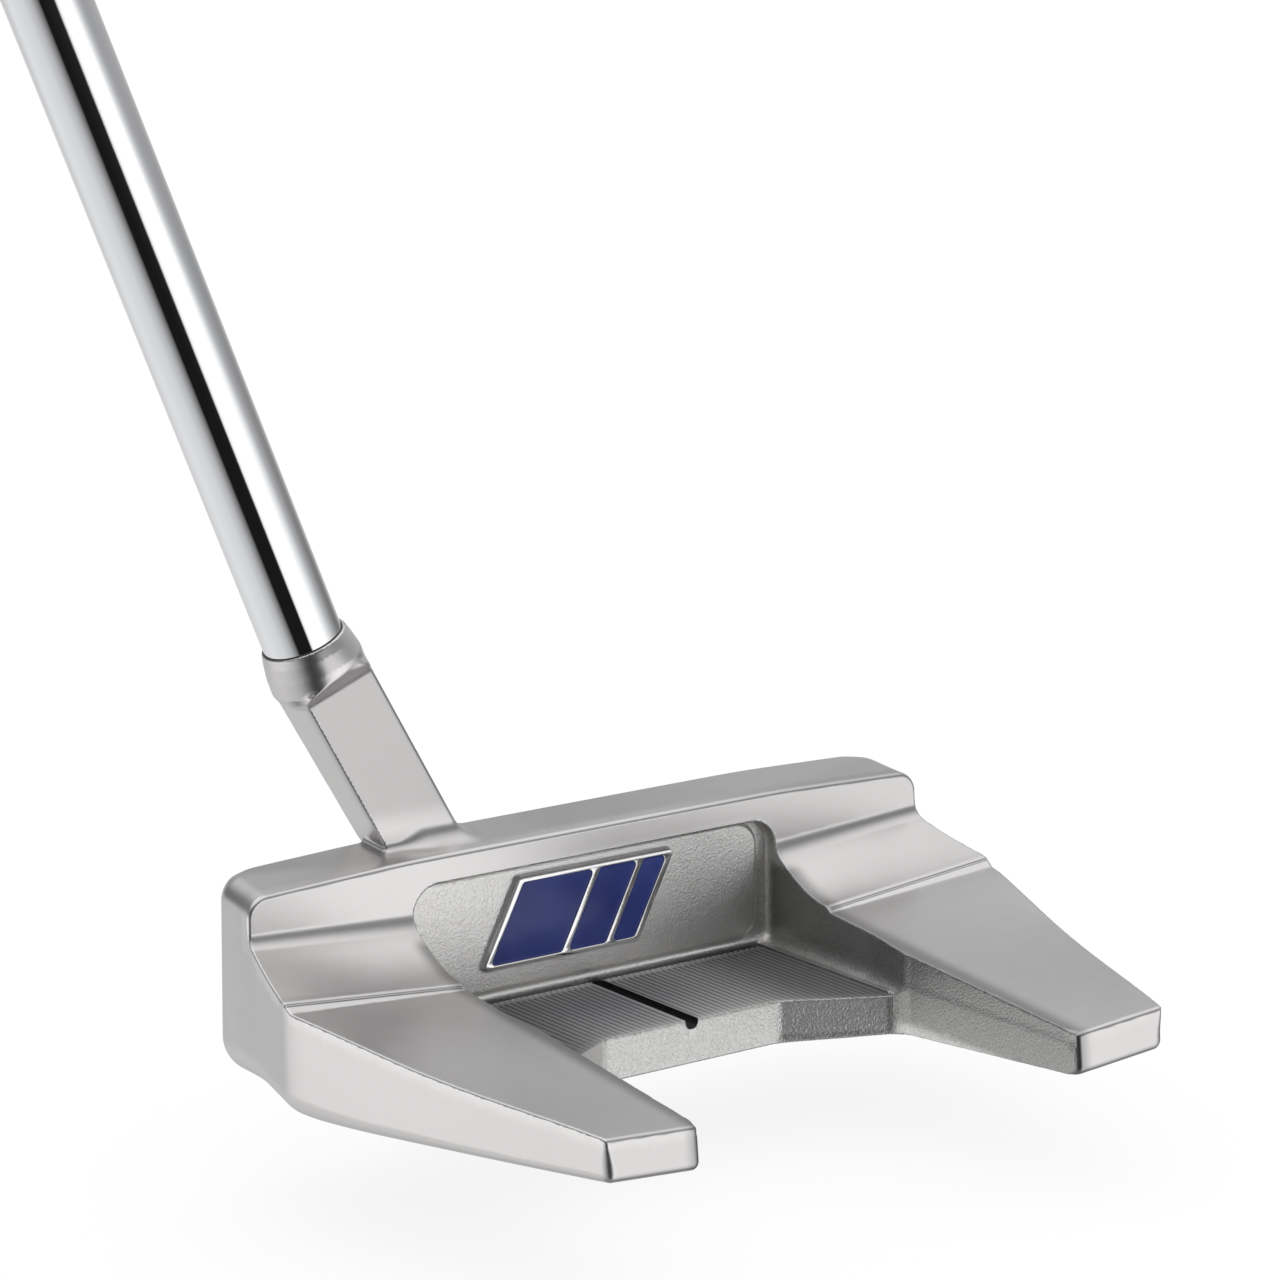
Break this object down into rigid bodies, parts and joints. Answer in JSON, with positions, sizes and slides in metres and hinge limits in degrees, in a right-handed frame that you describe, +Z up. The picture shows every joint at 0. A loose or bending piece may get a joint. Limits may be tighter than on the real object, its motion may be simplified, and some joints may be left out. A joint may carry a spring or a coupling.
{
  "type": "mallet putter",
  "caption": "Mallet putter with two swept-back rear wings, an open grooved centre pocket with an aiming line, a slanted neck, bright steel shaft and rubber grip.",
  "frame": {"origin": "on the ground under the flat of the sole, on the head's centre line, 10 mm behind the leading edge", "axes": "+X from toe to heel, the way the shaft leans; +Y from the striking face to the back; +Z up, with the sole level"},
  "size_m": [0.3965, 0.0775, 0.8078],
  "materials": {
    "cast_steel": "satin, fine blasted texture in the pocket",
    "insert_face": "anodised, grooved",
    "adhesive": "bond film",
    "bright_plate": "bright plated",
    "blue_enamel": "glossy enamel",
    "black_paint": "paint fill",
    "weight_steel": "turned",
    "black_rubber": "smooth",
    "shaft_chrome": "bright plated",
    "dark_epoxy": "cured",
    "tape": "woven",
    "grip_rubber": "fine textured",
    "cap_plastic": "moulded"
  },
  "bodies": {
    "head": {"head_body": "cast_steel", "hosel_neck": "cast_steel", "face_insert": "insert_face", "insert_bond": "adhesive", "badge_frame": "bright_plate", "badge_enamel": "blue_enamel", "badge_bond": "adhesive", "sight_line_paint": "black_paint", "shaft": "shaft_chrome", "shaft_epoxy": "dark_epoxy", "grip_tape": "tape", "grip": "grip_rubber", "grip_cap": "cap_plastic"},
    "heel_seal": {"heel_weight_seal": "black_rubber"},
    "heel_weight": {"heel_weight": "weight_steel"},
    "toe_seal": {"toe_weight_seal": "black_rubber"},
    "toe_weight": {"toe_weight": "weight_steel"}
  },
  "joints": [
    {"name": "heel_weight_out", "type": "slide", "parent": "head", "child": "heel_seal", "axis": [0, 0, -1], "range_m": [0, 0.006]},
    {"name": "heel_weight_turn", "type": "hinge", "parent": "heel_seal", "child": "heel_weight", "pos_m": [0.036, 0.007, 0.00115], "axis": [0, 0, 1], "range_deg": [0, 1440]},
    {"name": "toe_weight_out", "type": "slide", "parent": "head", "child": "toe_seal", "axis": [0, 0, -1], "range_m": [0, 0.006]},
    {"name": "toe_weight_turn", "type": "hinge", "parent": "toe_seal", "child": "toe_weight", "pos_m": [-0.036, 0.007, 0.00115], "axis": [0, 0, 1], "range_deg": [0, 1440]}
  ],
  "couplings": [
    {"joint": "heel_weight_turn", "follows": "heel_weight_out", "rad_per_m": 4188.8},
    {"joint": "toe_weight_turn", "follows": "toe_weight_out", "rad_per_m": 4188.8}
  ]
}
